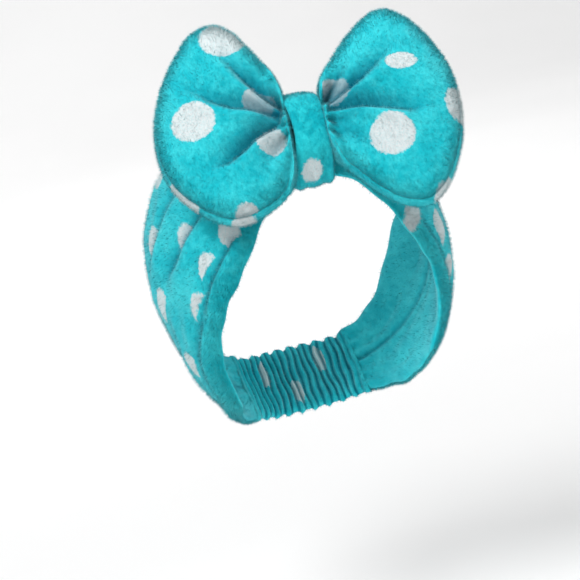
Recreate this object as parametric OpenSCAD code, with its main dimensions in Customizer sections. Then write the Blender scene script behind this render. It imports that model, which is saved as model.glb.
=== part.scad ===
// Spa headband: a plush fleece tube worn round the head, gathered under a knot strip that holds a
// padded two-lobed bow, and closed at the nape by an elastic in a ruched casing.
// Frame: origin at the centre of the head, +Z up to the crown, -Y towards the face, +X to the
// viewer's right when the face is seen from the front.

/* [Head] */
// Half breadth of the head, over the hair
head_a = 76; // [68:0.5:80]
// Half length of the head, over the hair
head_b = 93; // [86:0.5:98]
// Height of the crown above the centre of the head
head_c = 104; // [98:0.5:110]

/* [Band] */
// Angle of the band's plane from the horizontal
band_tilt = 53; // [46:1:58]
// Width of the tube over the ears
side_width = 100; // [85:1:105]
// Width of the tube where the knot gathers it
front_width = 50; // [46:1:58]
// Width of the tube at its sewn ends, by the nape
end_width = 47; // [44:1:54]
// Thickness of the flattened tube, pile included
band_thick = 8; // [7:0.5:10]
// Extra thickness of the tube where the knot bunches it
bunch = 4; // [2:0.5:6]
// Thickness of one layer of fleece
fleece = 2.6; // [2:0.1:3]
// Angle from the knot to each sewn end of the tube, round the loop
tube_end = 150; // [144:1:154]
// How far the loop is drawn in towards the neck, as a share of its breadth
neck_draw = 0.14; // [0:0.01:0.15]

/* [Nape elastic] */
// Width of the elastic tape
tape_width = 32; // [25:1:35]
// Thickness of the elastic tape
tape_thick = 1.4; // [1:0.1:2]
// Width of the ruched casing
casing_width = 44; // [40:1:48]
// Thickness of the ruched casing
casing_thick = 10; // [8.5:0.5:12]

/* [Bow] */
// Lean of the bow's face back from the vertical
bow_lean = 30; // [22:1:36]
// Turn of the bow in its own face, clockwise as the wearer is seen
bow_turn = 6; // [0:1:8]
// Where the bow's waist sits on the tube's width, from -1 at the rear edge to 1 at the front edge
bow_seat = 0.2; // [-0.1:0.02:0.3]
// How far the waist lies below the middle of the lobes' height
waist_drop = 8; // [0:1:9]
// Length of the left and the right lobe, from its hinge line
lobe_length = [69, 73]; // [64:1:78]
// Half height of each lobe at its widest
lobe_half = 57; // [50:1:60]
// Half height of each lobe where the knot pinches it
lobe_root = 15; // [14:0.5:16]
// Height of the lobe's front face above its seam
lobe_front = 18; // [14:1:20]
// Depth of the lobe's back face behind its seam
lobe_back = 10; // [8:1:12]
// Sweep of the left and the right lobe back towards the head
lobe_sweep = [12, -4]; // [-6:1:16]

/* [Knot] */
// Width of the knot strip
strip_width = 20; // [18:1:24]
// Thickness of the knot strip
strip_thick = 3; // [2.4:0.1:3.4]
// Thickness of the pinched waist of the bow
waist_thick = 13; // [11:0.5:14]

/* [Thread] */
// Diameter of the sewing thread in the seams
thread = 0.9; // [0.6:0.1:1]
// Length of one stitch
stitch = 4; // [3:0.5:5]

/* [Hidden] */
$fn = 32;

gap = 0.35;             // clearance between neighbouring pieces
half_strip = strip_width / 2;
hinge_x = half_strip - 0.4;
waist_half = 4.5;
turquoise = [0.13, 0.75, 0.78];
shade = [0.1, 0.62, 0.66];
white = [0.93, 0.94, 0.94];
thread_blue = [0.2, 0.66, 0.7];

// Unit vectors of the loop: across the head, up to the knot, and out towards the face.
across = [1, 0, 0];
to_knot = [0, -cos(band_tilt), sin(band_tilt)];
to_face = [0, -sin(band_tilt), -cos(band_tilt)];

function smooth(x) = let (k = min(1, max(0, x))) k * k * (3 - 2 * k);
function fold(th) = abs(th > 180 ? th - 360 : th);

// Width of the tube and of the casing at angle th from the knot.
function tube_width(th) = let (a = fold(th))
    front_width + (side_width - front_width) * smooth((a - 6) / 46)
    - (side_width - end_width) * smooth((a - 96) / 56);
// How far the middle of the tube lies from the head's centre, towards the face.
function tube_shift(th) = 8.5 - 2.5 * cos(th) - 6.5 * cos(2 * th) + 5.5 * cos(3 * th);
function tube_thick(th) = band_thick + bunch * (1 - smooth((fold(th) - 4) / 26));

// A point on the shell that lies t outside the head: angle th round the loop, distance k from the
// head's centre towards the face.
function shell_point(th, k, t) =
    let (a = head_a + t, b = head_b + t, c = head_c + t,
         reach = [0, to_face.y * b * b, to_face.z * c * c],
         h2 = reach * to_face,
         rise = 1 / sqrt(pow(to_knot.y / b, 2) + pow(to_knot.z / c, 2)),
         m = sqrt(1 - k * k / h2),
         draw = 1 - neck_draw * smooth((fold(th) - 80) / 55))
    k / h2 * reach + m * (a * draw * sin(th) * across + rise * cos(th) * to_knot);

// A point of the band: v runs from -1 at the rear edge to 1 at the front edge.
function band_point(th, v, t, width) = shell_point(th, tube_shift(th) + v * width / 2, t);

// Stations across the width of a flattened tube, and its round-edged profile.
tube_v = [-1, -0.985, -0.93, -0.78, -0.5, -0.18, 0.18, 0.5, 0.78, 0.93, 0.985, 1];
function edge_round(v) = pow(1 - pow(abs(v), 10), 0.5);
// One ring of a flattened tube, inset from its outer skin.
function tube_ring(th, width, thick, inset) =
    let (n = len(tube_v), half = thick / 2 - inset, w = width - 2 * inset)
    [for (i = [0 : 2 * n - 3])
        let (up = i < n, v = up ? tube_v[i] : tube_v[2 * n - 2 - i])
        band_point(th, v, thick / 2 + (up ? 1 : -1) * half * edge_round(v), w)];

// Joins rings of equal length into a closed wall between an outer and an inner skin.
module tube_wall(outer, inner) {
    n = len(outer[0]);
    m = len(outer);
    base = n * m;
    polyhedron(
        points = concat([for (r = outer) each r], [for (r = inner) each r]),
        faces = concat(
            [for (i = [0 : m - 2], j = [0 : n - 1])
                [i * n + j, (i + 1) * n + j, (i + 1) * n + (j + 1) % n, i * n + (j + 1) % n]],
            [for (i = [0 : m - 2], j = [0 : n - 1])
                [base + i * n + j, base + i * n + (j + 1) % n, base + (i + 1) * n + (j + 1) % n,
                 base + (i + 1) * n + j]],
            [for (j = [0 : n - 1]) [j, (j + 1) % n, base + (j + 1) % n, base + j]],
            [for (j = [0 : n - 1]) let (e = (m - 1) * n)
                [e + (j + 1) % n, e + j, base + e + j, base + e + (j + 1) % n]]),
        convexity = 8);
}

// Joins rings into a solid with flat ends, or into a closed ring.
module sweep(rings, closed = false) {
    n = len(rings[0]);
    m = len(rings);
    last = closed ? m - 1 : m - 2;
    polyhedron(
        points = [for (r = rings) each r],
        faces = concat(
            [for (i = [0 : last], j = [0 : n - 1]) let (k = (i + 1) % m)
                [i * n + j, k * n + j, k * n + (j + 1) % n, i * n + (j + 1) % n]],
            closed ? [] : [[for (j = [0 : n - 1]) j], [for (j = [n - 1 : -1 : 0]) (m - 1) * n + j]]),
        convexity = 8);
}

// One stitch: a short length of thread from a to b.
module stitch_rod(a, b) {
    d = b - a;
    translate(a)
        rotate([0, acos(d.z / norm(d)), atan2(d.y, d.x)])
            cylinder(d = thread, h = norm(d), $fn = 16);
}

// ---- Band ----

tube_steps = 60;
tube_angles = [for (i = [0 : tube_steps]) -tube_end + 2 * tube_end * i / tube_steps];

module band_tube() {
    color(turquoise)
        tube_wall(
            [for (th = tube_angles) tube_ring(th, tube_width(th), tube_thick(th), 0)],
            [for (th = tube_angles) tube_ring(th, tube_width(th), tube_thick(th), fleece)]);
}

// A thread that runs along the loop inside a flattened tube, at station v and height t.
function thread_ring(th, k, t) =
    let (p = shell_point(th, k, t), r = thread / 2)
    [for (a = [0 : 60 : 300]) shell_point(th, k + r * cos(a), t + r * sin(a))];

module band_seam() {
    seam_end = tube_end - 2;
    color(thread_blue)
        sweep([for (i = [0 : tube_steps])
            let (th = -seam_end + 2 * seam_end * i / tube_steps)
            thread_ring(th, tube_shift(th), fleece + gap + thread / 2)]);
}

// Two rows of stitches across each sewn end, on the tube's outer face.
module end_stitches() {
    rows = [tube_end - 3.5, tube_end - 6.5];
    span = 0.8;
    count = floor(end_width * span / (stitch + 2));
    color(thread_blue)
        for (s = [-1, 1], th = rows, i = [0 : count - 1]) {
            w = tube_width(th);
            mid = tube_shift(th) + (i - (count - 1) / 2) * (stitch + 2);
            rise = band_thick + thread / 2 + 0.1;
            stitch_rod(shell_point(s * th, mid - stitch / 2, rise),
                       shell_point(s * th, mid + stitch / 2, rise));
        }
}

// ---- Nape elastic ----

casing_start = tube_end + 0.9;
casing_steps = 20;
casing_angles = [for (i = [0 : casing_steps])
    casing_start + 2 * (180 - casing_start) * i / casing_steps];

module elastic_casing() {
    color(turquoise)
        tube_wall(
            [for (th = casing_angles) tube_ring(th, casing_width, casing_thick, 0)],
            [for (th = casing_angles) tube_ring(th, casing_width, casing_thick, fleece)]);
}

module elastic_tape() {
    mid_t = casing_thick / 2;
    color(white)
        sweep([for (th = casing_angles)
            [for (c = [[-1, -1], [-1, 1], [0, 1], [1, 1], [1, -1], [0, -1]])
                band_point(th, c.x, mid_t + c.y * tape_thick / 2, tape_width)]]);
}

module casing_seam() {
    rise = fleece + thread / 2 + 0.1;
    color(thread_blue)
        sweep([for (i = [1 : casing_steps - 1])
            thread_ring(casing_angles[i], tube_shift(casing_angles[i]), rise)]);
}

// ---- Bow ----

face_lean = [0, -cos(bow_lean), sin(bow_lean)];
rise_lean = [0, sin(bow_lean), cos(bow_lean)];
bow_out = face_lean;
bow_right = cos(bow_turn) * across - sin(bow_turn) * rise_lean;
bow_up = cos(bow_turn) * rise_lean + sin(bow_turn) * across;
// Centres of the bow's waist, above the outer face of the gathered tube, and of its lobes' height.
seat = band_point(0, bow_seat, tube_thick(0), front_width);
waist_centre = seat + (waist_thick / 2 + 3.4) * bow_out;
bow_centre = waist_centre + waist_drop * bow_up;

// A point in the bow's own frame: x to the right, y up, z out of its face.
function bow_point(p) = bow_centre + p.x * bow_right + p.y * bow_up + p.z * bow_out;
module at_waist() {
    multmatrix([
        [bow_right.x, bow_up.x, bow_out.x, waist_centre.x],
        [bow_right.y, bow_up.y, bow_out.y, waist_centre.y],
        [bow_right.z, bow_up.z, bow_out.z, waist_centre.z],
        [0, 0, 0, 1]])
        children();
}

// Outline of a lobe, from its hinge line at x = 0 out to its round end, then back.
mid_share = 0.48;        // where a lobe is tallest, as a share of its length
lobe_power = 2.3;
function fan(x, mid) = lobe_root + (lobe_half - lobe_root) * pow(sin(90 * x / mid), 1.5);
// The pinched root lies lower than the lobe's middle, by this much at distance x.
function root_drop(x, mid) = waist_drop * (1 - smooth(x / mid));
fan_shares = [0, 0.1, 0.24, 0.4, 0.57, 0.78];
function round_end(length) = [for (a = [0 : 15 : 90])
    let (mid = mid_share * length)
    [mid + (length - mid) * pow(sin(a), 2 / lobe_power),
     lobe_half * pow(max(0, cos(a)), 2 / lobe_power)]];
function outline(length) =
    let (mid = mid_share * length,
         upper = concat([for (share = fan_shares) [share * mid, fan(share * mid, mid)]],
             round_end(length)),
         loop = concat(
             [[0, 0], [0, lobe_root * 0.55]], upper,
             [for (i = [len(upper) - 2 : -1 : 0]) [upper[i].x, -upper[i].y]],
             [[0, -lobe_root * 0.55]]))
    [for (p = loop) [p.x, p.y - root_drop(p.x, mid)]];
lobe_outlines = [for (length = lobe_length) outline(length)];
lobe_heart = [31, -1];
outline_count = len(lobe_outlines[0]);

// A point of a lobe's face: rho from 0 at the heart to 1 at the outline point o, drawn in by inset,
// at a height of rise. The height dies away towards the pinched root.
function lobe_local(rho, o, inset, rise) =
    let (ray = o - lobe_heart,
         flat = lobe_heart + ray * (1 - inset / norm(ray)) * rho,
         swell = pow(1 - pow(rho, 2.6), 0.5),
         pinch = 0.2 + 0.8 * smooth(flat.x / 30))
    [flat.x, flat.y, rise * swell * pinch];

// Turns a lobe point into the frame: side 0 is the left lobe and side 1 the right lobe.
function lobe_point(side, p) =
    let (s = side == 0 ? -1 : 1, a = lobe_sweep[side])
    bow_point([s * (hinge_x + p.x * cos(a) + p.z * sin(a)), p.y, p.z * cos(a) - p.x * sin(a)]);

lobe_rhos = [0.3, 0.55, 0.75, 0.88, 0.96, 1];

// Points of one face of a lobe: rings from the heart out, then the heart.
function lobe_skin(side, inset, rise, lift) = concat(
    [for (rho = lobe_rhos, o = lobe_outlines[side])
        let (p = lobe_local(rho, o, inset, rise)) lobe_point(side, [p.x, p.y, p.z + lift])],
    [let (p = lobe_local(0, lobe_outlines[side][0], inset, rise))
        lobe_point(side, [p.x, p.y, p.z + lift])]);

// Faces of one skin whose points start at base. turn sets which way they look.
function skin_faces(base, turn) =
    let (n = outline_count, m = len(lobe_rhos), heart = base + n * m)
    [for (f = concat(
        [for (j = [0 : n - 1]) [heart, base + (j + 1) % n, base + j]],
        [for (i = [0 : m - 2], j = [0 : n - 1])
            [base + i * n + j, base + i * n + (j + 1) % n, base + (i + 1) * n + (j + 1) % n,
             base + (i + 1) * n + j]]))
        turn ? [for (k = [len(f) - 1 : -1 : 0]) f[k]] : f];

// Quads that join the rims of two skins.
function rim_faces(a, b, turn) =
    let (n = outline_count, e = n * (len(lobe_rhos) - 1))
    [for (j = [0 : n - 1]) let (k = (j + 1) % n)
        turn ? [a + e + j, b + e + j, b + e + k, a + e + k]
             : [a + e + k, b + e + k, b + e + j, a + e + j]];

// A solid between two skins of a lobe. up is true where the first skin looks out of the bow's face.
module lobe_solid(side, first, second, up) {
    n = len(first);
    look = (side == 0) == up;
    polyhedron(
        points = concat(first, second),
        faces = concat(skin_faces(0, look), skin_faces(n, !look), rim_faces(0, n, look)),
        convexity = 6);
}

module front_panel(side) {
    lobe_solid(side, lobe_skin(side, 0, lobe_front, gap / 2),
        lobe_skin(side, fleece, lobe_front - fleece, gap / 2), true);
}
module back_panel(side) {
    lobe_solid(side, lobe_skin(side, 0, -lobe_back, -gap / 2),
        lobe_skin(side, fleece, fleece - lobe_back, -gap / 2), false);
}
fill_inset = fleece + 2.2;
module fill(side) {
    lobe_solid(side, lobe_skin(side, fill_inset, lobe_front - fleece - 1, 0.05),
        lobe_skin(side, fill_inset, fleece + 1 - lobe_back, -0.05), true);
}
// The seam's thread, just inside the two panels and outside the fill.
module lobe_seam(side) {
    inset = fleece + gap + thread / 2;
    sweep([for (o = lobe_outlines[side])
        let (ray = lobe_heart - o, dir = ray / norm(ray), p = o + dir * inset)
        [for (a = [0 : 60 : 300])
            lobe_point(side, [p.x + dir.x * thread / 2 * cos(a), p.y + dir.y * thread / 2 * cos(a),
                thread / 2 * sin(a) * (side == 0 ? 1 : -1)])]], true);
}

module left_front_panel() { color(turquoise) front_panel(0); }
module left_back_panel() { color(shade) back_panel(0); }
module left_fill() { color(white) fill(0); }
module left_seam() { color(thread_blue) lobe_seam(0); }
module right_front_panel() { color(turquoise) front_panel(1); }
module right_back_panel() { color(shade) back_panel(1); }
module right_fill() { color(white) fill(1); }
module right_seam() { color(thread_blue) lobe_seam(1); }

// The pinched middle of the bow, between the two hinge lines.
waist_height = 2 * lobe_root + 4;
module waist_outline(grow) {
    offset(r = grow)
        resize([waist_thick, waist_height])
            circle(d = waist_thick, $fn = 40);
}
module bow_waist() {
    color(turquoise)
        at_waist()
            rotate([0, 90, 0])
                linear_extrude(height = 2 * waist_half, center = true)
                    waist_outline(-thread - 0.2);
}
// Turns of strong thread wound round the waist.
module waist_thread() {
    turns = 5;
    color(white)
        at_waist()
            for (i = [0 : turns - 1])
                translate([(i - (turns - 1) / 2) * 1.6, 0, 0])
                    rotate([0, 90, 0])
                        linear_extrude(height = thread, center = true)
                            difference() {
                                waist_outline(0);
                                waist_outline(-thread);
                            }
}

// ---- Knot ----

strip_clear = 1.1;      // room between the strip and what it wraps
under_gap = 0.8;        // more room under the tube, whose inner face curves across the strip

// Section of the gathered tube in the plane x = 0, as [y, z] points.
tube_section = [for (p = tube_ring(0, tube_width(0), tube_thick(0), 0)) [p.y, p.z]];
waist_section = [for (a = [0 : 15 : 345])
    let (p = waist_centre + waist_height / 2 * sin(a) * bow_up + waist_thick / 2 * cos(a) * bow_out)
    [p.y, p.z]];

module strip_core() {
    hull() {
        polygon(tube_section);
        polygon(waist_section);
    }
}
// The hollow side of the tube, that the strip follows back up inside the band.
module under_tube(grow) {
    depth = 60;
    offset(r = grow)
        polygon(concat(
            [for (i = [0 : 12]) let (p = band_point(0, 1.3 - 2.6 * i / 12, -under_gap, tube_width(0)))
                [p.y, p.z]],
            [[to_knot.y, to_knot.z] * (head_c - depth)]));
}
module strip_profile(grow) {
    difference() {
        offset(r = grow)
            strip_core();
        under_tube(-grow);
    }
}
module knot_strip() {
    clear = strip_clear;
    color(turquoise)
        rotate([90, 0, 90])
            linear_extrude(height = strip_width, center = true)
                difference() {
                    strip_profile(clear + strip_thick);
                    strip_profile(clear);
                }
}

// Closing stitches of the strip, on its inner face under the band.
module knot_stitches() {
    count = 4;
    depth = -under_gap - strip_clear - strip_thick - thread / 2 - 0.3;
    color(thread_blue)
        for (i = [0 : count - 1]) {
            v = -0.3 + 0.2 * i;
            p = band_point(0, v, depth, tube_width(0));
            stitch_rod(p + [-stitch, 0, 0], p + [stitch, 0, 0]);
        }
}

// Tack stitches that hold the bow's waist down on the tube.
module bow_tacks() {
    count = 3;
    color(thread_blue)
        for (i = [0 : count - 1]) {
            v = bow_seat + (i - 1) * 0.12;
            p = band_point(0, v, tube_thick(0) + thread / 2 + 0.3, tube_width(0));
            stitch_rod(p + [-stitch, 0, 0], p + [stitch, 0, 0]);
        }
}

band_tube();
band_seam();
end_stitches();
knot_strip();
knot_stitches();
bow_waist();
waist_thread();
bow_tacks();
left_front_panel();
left_back_panel();
left_fill();
left_seam();
right_front_panel();
right_back_panel();
right_fill();
right_seam();
elastic_casing();
elastic_tape();
casing_seam();
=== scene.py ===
"""Spa headband: a plush fleece tube gathered under a knot, with a padded bow and a nape elastic."""

import logging
import math
from dataclasses import dataclass, field
from enum import Enum

import bpy
import numpy as np
from mathutils import Matrix, Vector


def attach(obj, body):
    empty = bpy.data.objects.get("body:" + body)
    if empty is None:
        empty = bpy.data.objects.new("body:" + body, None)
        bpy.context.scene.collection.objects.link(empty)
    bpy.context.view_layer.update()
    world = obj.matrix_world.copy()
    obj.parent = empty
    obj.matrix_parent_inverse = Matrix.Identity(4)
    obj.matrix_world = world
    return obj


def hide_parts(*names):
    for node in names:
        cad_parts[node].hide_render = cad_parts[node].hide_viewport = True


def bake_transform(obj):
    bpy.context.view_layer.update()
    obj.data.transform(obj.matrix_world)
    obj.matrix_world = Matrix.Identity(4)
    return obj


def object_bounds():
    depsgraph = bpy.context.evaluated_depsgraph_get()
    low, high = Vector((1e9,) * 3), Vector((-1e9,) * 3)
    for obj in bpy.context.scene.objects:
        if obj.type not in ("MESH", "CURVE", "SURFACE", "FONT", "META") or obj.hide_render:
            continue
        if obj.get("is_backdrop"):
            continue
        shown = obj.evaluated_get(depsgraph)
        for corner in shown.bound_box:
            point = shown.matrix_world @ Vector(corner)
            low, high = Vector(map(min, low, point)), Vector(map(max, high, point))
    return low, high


LOG = logging.getLogger("headband")
MM = 0.001
CLOTH_UV = "cloth"
VALLEY = "valley"
TINY = 1e-12
THREAD_RADIUS = 0.45 * MM
THREAD_BLUE = (70, 190, 198)
# Colour of the painted shade in the grooves of the thread's ply.
THREAD_SHADE = (30, 130, 140)
ELASTIC_WHITE = (240, 240, 236)
LINING_OFFSET = 0.2
BACK_OFFSET_MM = 300


class Side(Enum):
    """The two lobes of the bow, as the face is seen from the front."""

    LEFT = "left"
    RIGHT = "right"


# ---------------------------------------------------------------- shader helpers


def socket_group(name: str, inputs: list[tuple[str, str, float]],
                 outputs: list[tuple[str, str]]) -> bpy.types.NodeTree:
    """Makes an empty shader node group with named sockets.

    Args:
        name: The group's name.
        inputs: Name, socket type and default value of each input.
        outputs: Name and socket type of each output.

    Returns:
        The node tree, with its input and output nodes in place.
    """
    tree = bpy.data.node_groups.new(name, "ShaderNodeTree")
    for label, kind, value in inputs:
        sock = tree.interface.new_socket(label, in_out="INPUT", socket_type=kind)
        if kind == "NodeSocketFloat":
            sock.default_value = value
    for label, kind in outputs:
        tree.interface.new_socket(label, in_out="OUTPUT", socket_type=kind)
    tree.nodes.new("NodeGroupInput").name = "in"
    tree.nodes.new("NodeGroupOutput").name = "out"
    return tree


def math_node(tree: bpy.types.NodeTree, operation: str, *values: object) -> bpy.types.NodeSocket:
    """Adds a Math node.

    Args:
        tree: The node tree.
        operation: The node's operation.
        values: Its inputs, each a socket or a plain number.

    Returns:
        The node's output.
    """
    node = tree.nodes.new("ShaderNodeMath")
    node.operation = operation
    for index, value in enumerate(values):
        if isinstance(value, bpy.types.NodeSocket):
            tree.links.new(value, node.inputs[index])
        else:
            node.inputs[index].default_value = value
    return node.outputs[0]


def noise_node(tree: bpy.types.NodeTree, vector: bpy.types.NodeSocket, scale: float,
               detail: float, rough: float = 0.5) -> bpy.types.NodeSocket:
    """Adds a Noise Texture.

    Args:
        tree: The node tree.
        vector: Where the noise is read.
        scale: Its scale.
        detail: Its detail.
        rough: Its roughness.

    Returns:
        The noise's value.
    """
    node = tree.nodes.new("ShaderNodeTexNoise")
    node.inputs["Scale"].default_value = scale
    node.inputs["Detail"].default_value = detail
    node.inputs["Roughness"].default_value = rough
    tree.links.new(vector, node.inputs["Vector"])
    return node.outputs[0]


def span_node(tree: bpy.types.NodeTree, value: bpy.types.NodeSocket, low: float, high: float,
              to_low: float = 0.0, to_high: float = 1.0) -> bpy.types.NodeSocket:
    """Maps a value smoothly from one span to another.

    Args:
        tree: The node tree.
        value: The value.
        low: Start of its span.
        high: End of its span.
        to_low: Start of the new span.
        to_high: End of the new span.

    Returns:
        The mapped value.
    """
    node = tree.nodes.new("ShaderNodeMapRange")
    node.interpolation_type = "SMOOTHSTEP"
    tree.links.new(value, node.inputs[0])
    for index, number in enumerate((low, high, to_low, to_high), start=1):
        node.inputs[index].default_value = number
    return node.outputs[0]


def mix_colour(tree: bpy.types.NodeTree, factor: bpy.types.NodeSocket, first: object,
               second: object, blend: str = "MIX") -> bpy.types.NodeSocket:
    """Mixes two colours, each a socket or a plain RGBA value.

    Args:
        tree: The node tree.
        factor: Share of the second colour.
        first: The first colour.
        second: The second colour.
        blend: The blend mode.

    Returns:
        The mixed colour.
    """
    node = tree.nodes.new("ShaderNodeMix")
    node.data_type = "RGBA"
    node.blend_type = blend
    tree.links.new(factor, node.inputs[0])
    for index, value in ((6, first), (7, second)):
        if isinstance(value, bpy.types.NodeSocket):
            tree.links.new(value, node.inputs[index])
        else:
            node.inputs[index].default_value = value
    return node.outputs[2]


def linear(red: int, green: int, blue: int) -> tuple[float, float, float, float]:
    """Turns an 8-bit screen colour into a linear RGBA value.

    Args:
        red: Red, 0 to 255.
        green: Green, 0 to 255.
        blue: Blue, 0 to 255.

    Returns:
        The opaque linear colour.
    """
    parts = [v / 255 for v in (red, green, blue)]
    out = [v / 12.92 if v <= 0.04045 else ((v + 0.055) / 1.055) ** 2.4 for v in parts]
    return (out[0], out[1], out[2], 1.0)


def new_material(name: str) -> tuple[bpy.types.Material, bpy.types.NodeTree, bpy.types.Node]:
    """Makes a node material.

    Args:
        name: The material's name.

    Returns:
        The material, its tree and its Principled BSDF.
    """
    material = bpy.data.materials.new(name)
    material.use_nodes = True
    tree = material.node_tree
    return material, tree, tree.nodes["Principled BSDF"]


def group_node(tree: bpy.types.NodeTree, group: bpy.types.NodeTree,
               place: bpy.types.NodeSocket) -> bpy.types.Node:
    """Adds a shared node group that reads a place.

    Args:
        tree: The node tree.
        group: The shared group.
        place: Where the group is read.

    Returns:
        The group node.
    """
    node = tree.nodes.new("ShaderNodeGroup")
    node.node_tree = group
    tree.links.new(place, node.inputs["Place"])
    return node


def relief(tree: bpy.types.NodeTree, shader: bpy.types.Node, height: bpy.types.NodeSocket,
           distance: float, strength: float = 1.0) -> None:
    """Gives a shader a bump.

    Args:
        tree: The node tree.
        shader: The Principled BSDF.
        height: Height of the bump.
        distance: Height that the value 1 stands for, in metres.
        strength: Strength of the bump.
    """
    bump = tree.nodes.new("ShaderNodeBump")
    bump.inputs["Distance"].default_value = distance
    bump.inputs["Strength"].default_value = strength
    tree.links.new(height, bump.inputs["Height"])
    tree.links.new(bump.outputs[0], shader.inputs["Normal"])


class ShaderParts:
    """The node groups that several finishes share."""

    def __init__(self) -> None:
        self.dot = self._make_dot()
        self.nap = self._make_nap()
        self.twist = self._make_twist()

    def _make_dot(self) -> bpy.types.NodeTree:
        """Makes one round dot in cloth coordinates, cut off past a fold line.

        Returns:
            The group.
        """
        tree = socket_group("printed_dot", [
            ("Cloth", "NodeSocketVector", 0), ("Across", "NodeSocketFloat", 0),
            ("Along", "NodeSocketFloat", 0), ("Radius", "NodeSocketFloat", 0.01),
            ("Stretch", "NodeSocketFloat", 1), ("Cut", "NodeSocketFloat", 1),
            ("Fray", "NodeSocketFloat", 0)], [("Mask", "NodeSocketFloat")])
        given = tree.nodes["in"].outputs
        split = tree.nodes.new("ShaderNodeSeparateXYZ")
        tree.links.new(given["Cloth"], split.inputs[0])
        dx = math_node(tree, "SUBTRACT", split.outputs[0], given["Across"])
        dy = math_node(tree, "SUBTRACT", split.outputs[1], given["Along"])
        dy = math_node(tree, "DIVIDE", dy, given["Stretch"])
        square = math_node(tree, "ADD", math_node(tree, "MULTIPLY", dx, dx),
                           math_node(tree, "MULTIPLY", dy, dy))
        reach = math_node(tree, "ADD", math_node(tree, "SQRT", square), given["Fray"])
        inside = math_node(tree, "SUBTRACT", given["Radius"], reach)
        before = math_node(tree, "SUBTRACT", given["Cut"],
                           math_node(tree, "ADD", dx, given["Fray"]))
        edge = math_node(tree, "MINIMUM", inside, before)
        mask = span_node(tree, edge, -0.0007, 0.0007)
        tree.links.new(mask, tree.nodes["out"].inputs["Mask"])
        return tree

    def _make_nap(self) -> bpy.types.NodeTree:
        """Makes the lie of the pile: a brushed mottle, a fine grain and the bump height of both.

        Returns:
            The group.
        """
        tree = socket_group("plush_nap", [
            ("Place", "NodeSocketVector", 0), ("Brush", "NodeSocketFloat", 1),
            ("Grain", "NodeSocketFloat", 1)],
            [("Mottle", "NodeSocketFloat"), ("Grain", "NodeSocketFloat"),
             ("Height", "NodeSocketFloat")])
        given = tree.nodes["in"].outputs
        stretch = tree.nodes.new("ShaderNodeMapping")
        stretch.inputs["Scale"].default_value = (1.0, 0.45, 1.0)
        tree.links.new(given["Place"], stretch.inputs["Vector"])
        broad = noise_node(tree, stretch.outputs[0], 55, 3)
        brushed = noise_node(tree, stretch.outputs[0], 260, 4, 0.6)
        fine = noise_node(tree, given["Place"], 1300, 2, 0.6)
        mottle = math_node(tree, "ADD", math_node(tree, "MULTIPLY", broad, 0.5),
                           math_node(tree, "MULTIPLY", brushed, 0.5))
        mottle = span_node(tree, mottle, 0.36, 0.64)
        grain = span_node(tree, fine, 0.3, 0.7)
        height = math_node(tree, "ADD",
                           math_node(tree, "MULTIPLY", math_node(tree, "MULTIPLY", brushed, 0.7),
                                     given["Brush"]),
                           math_node(tree, "MULTIPLY", math_node(tree, "MULTIPLY", fine, 0.5),
                                     given["Grain"]))
        out = tree.nodes["out"].inputs
        tree.links.new(mottle, out["Mottle"])
        tree.links.new(grain, out["Grain"])
        tree.links.new(height, out["Height"])
        return tree

    def _make_twist(self) -> bpy.types.NodeTree:
        """Makes the ply of a thread or the rib of a tape: slanting ridges.

        Returns:
            The group.
        """
        tree = socket_group("twisted_ply", [
            ("Place", "NodeSocketVector", 0), ("Pitch", "NodeSocketFloat", 900)],
            [("Ridge", "NodeSocketFloat"), ("Fuzz", "NodeSocketFloat")])
        given = tree.nodes["in"].outputs
        wave = tree.nodes.new("ShaderNodeTexWave")
        wave.bands_direction = "DIAGONAL"
        tree.links.new(given["Place"], wave.inputs["Vector"])
        tree.links.new(given["Pitch"], wave.inputs["Scale"])
        wave.inputs["Distortion"].default_value = 1.5
        fuzz = noise_node(tree, given["Place"], 2400, 2)
        tree.links.new(wave.outputs[1], tree.nodes["out"].inputs["Ridge"])
        tree.links.new(fuzz, tree.nodes["out"].inputs["Fuzz"])
        return tree


@dataclass(frozen=True)
class Dot:
    """A printed dot: its place on the cloth, its size, and the fold that hides part of it.

    All sizes are in millimetres. A cut of 99 leaves the dot whole.
    """

    across: float
    along: float
    radius: float
    stretch: float = 1.0
    cut: float = 99.0


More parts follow.
